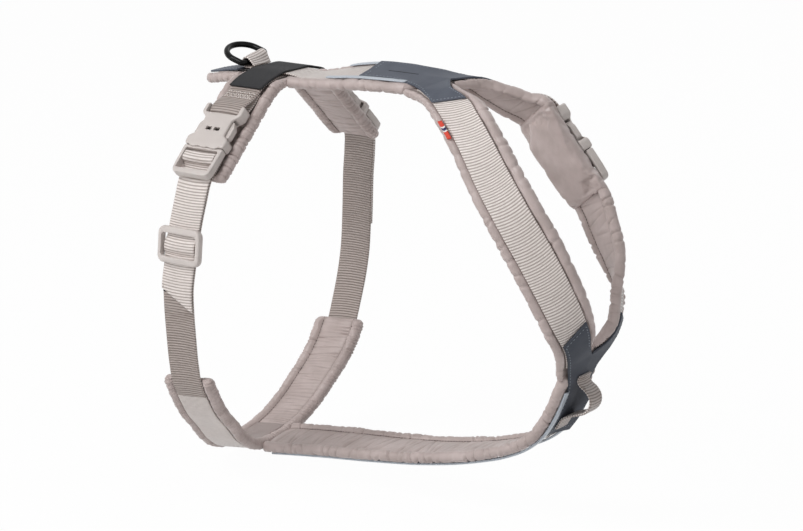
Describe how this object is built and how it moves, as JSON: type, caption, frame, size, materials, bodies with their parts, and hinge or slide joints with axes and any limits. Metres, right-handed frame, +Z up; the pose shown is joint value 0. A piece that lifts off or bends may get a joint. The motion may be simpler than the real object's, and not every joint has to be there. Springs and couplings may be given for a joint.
{
  "type": "no pull dog harness",
  "caption": "Padded dog harness, Y-shaped at withers and chest, with side release buckles at girth and neck, a strap slider, a lead ring on the back and a lead loop on the chest.",
  "frame": {"origin": "middle of the girth loop, in the centre of the dog's chest", "axes": "+X to the dog's head, +Y to the dog's left, +Z up"},
  "size_m": [0.3269, 0.2105, 0.2944],
  "materials": {
    "padding": "soft matt nylon over foam, warm beige grey",
    "webbing": "ribbed woven nylon webbing, light beige grey",
    "plastic": "moulded acetal, beige grey, fine matt",
    "patch": "suede-like reinforcement cloth, slate blue grey",
    "label": "bare dark woven label",
    "edging": "reflective edging tape, pale grey",
    "ring": "gloss black",
    "tag": "woven side tag in plain bands"
  },
  "bodies": {
    "harness": {"back_edging_left": "edging", "back_edging_right": "edging", "back_pad": "padding", "back_webbing": "webbing", "belly_inner_patch": "webbing", "belly_pad": "padding", "belly_webbing": "webbing", "chest_loop": "webbing", "chest_patch": "patch", "d_ring_loop": "webbing", "girth_left_socket": "plastic", "girth_right_socket": "plastic", "girth_strap_left": "webbing", "girth_strap_right": "webbing", "girth_top_pad": "padding", "girth_top_webbing": "webbing", "label_patch": "label", "neck_buckle_pad": "padding", "neck_pad_left_lower": "padding", "neck_pad_left_upper": "padding", "neck_pad_right": "padding", "neck_socket": "plastic", "neck_webbing_left_lower": "webbing", "neck_webbing_left_upper": "webbing", "neck_webbing_right": "webbing", "rear_flap_pad": "padding", "rear_patch": "patch", "side_tag": "tag", "sternum_edging_left": "edging", "sternum_edging_right": "edging", "sternum_pad": "padding", "sternum_webbing": "webbing", "withers_patch": "patch"},
    "girth_right_plug": {"girth_right_plug": "plastic"},
    "girth_right_prong_front": {"girth_right_prong_front": "plastic"},
    "girth_right_prong_rear": {"girth_right_prong_rear": "plastic"},
    "girth_left_plug": {"girth_left_plug": "plastic"},
    "girth_left_prong_front": {"girth_left_prong_front": "plastic"},
    "girth_left_prong_rear": {"girth_left_prong_rear": "plastic"},
    "neck_plug": {"neck_plug": "plastic"},
    "neck_prong_front": {"neck_prong_front": "plastic"},
    "neck_prong_rear": {"neck_prong_rear": "plastic"},
    "strap_slider": {"strap_slider": "plastic"},
    "d_ring": {"d_ring": "ring"}
  },
  "joints": [
    {"name": "girth_right_release", "type": "slide", "parent": "harness", "child": "girth_right_plug", "axis": [0, -0.7373, -0.6756], "range_m": [0, 0.026], "deforming": ["girth_strap_right"]},
    {"name": "girth_right_squeeze_front", "type": "hinge", "parent": "girth_right_plug", "child": "girth_right_prong_front", "pos_m": [0.0185, -0.08055, 0.09347], "axis": [0, -0.6756, 0.7373], "range_deg": [0, 8], "stiffness_Nm_per_rad": 0.5},
    {"name": "girth_right_squeeze_rear", "type": "hinge", "parent": "girth_right_plug", "child": "girth_right_prong_rear", "pos_m": [-0.0035, -0.08055, 0.09347], "axis": [0, 0.6756, -0.7373], "range_deg": [0, 8], "stiffness_Nm_per_rad": 0.5},
    {"name": "girth_left_release", "type": "slide", "parent": "harness", "child": "girth_left_plug", "axis": [0, 0.7373, -0.6756], "range_m": [0, 0.026], "deforming": ["girth_strap_left"]},
    {"name": "girth_left_squeeze_front", "type": "hinge", "parent": "girth_left_plug", "child": "girth_left_prong_front", "pos_m": [0.0185, 0.08055, 0.09347], "axis": [0, -0.6756, -0.7373], "range_deg": [0, 8], "stiffness_Nm_per_rad": 0.5},
    {"name": "girth_left_squeeze_rear", "type": "hinge", "parent": "girth_left_plug", "child": "girth_left_prong_rear", "pos_m": [-0.0035, 0.08055, 0.09347], "axis": [0, 0.6756, 0.7373], "range_deg": [0, 8], "stiffness_Nm_per_rad": 0.5},
    {"name": "neck_release", "type": "slide", "parent": "harness", "child": "neck_plug", "axis": [0.615, 0.0644, -0.7859], "range_m": [0, 0.026], "deforming": ["neck_webbing_left_lower"]},
    {"name": "neck_squeeze_front", "type": "hinge", "parent": "neck_plug", "child": "neck_prong_front", "pos_m": [0.2248, 0.04614, 0.09646], "axis": [-0.2419, -0.9332, -0.2657], "range_deg": [0, 8], "stiffness_Nm_per_rad": 0.5},
    {"name": "neck_squeeze_rear", "type": "hinge", "parent": "neck_plug", "child": "neck_prong_rear", "pos_m": [0.20829, 0.05392, 0.08417], "axis": [0.2419, 0.9332, 0.2657], "range_deg": [0, 8], "stiffness_Nm_per_rad": 0.5},
    {"name": "slider_adjust", "type": "slide", "parent": "girth_right_plug", "child": "strap_slider", "axis": [0, -0.1096, -0.994], "range_m": [-0.012, 0.018], "deforming": ["girth_strap_right"]},
    {"name": "ring_swing", "type": "hinge", "parent": "harness", "child": "d_ring", "pos_m": [-0.0145, 0, 0.14], "axis": [0, 0.9848, 0.1736], "range_deg": [0, 150]}
  ]
}
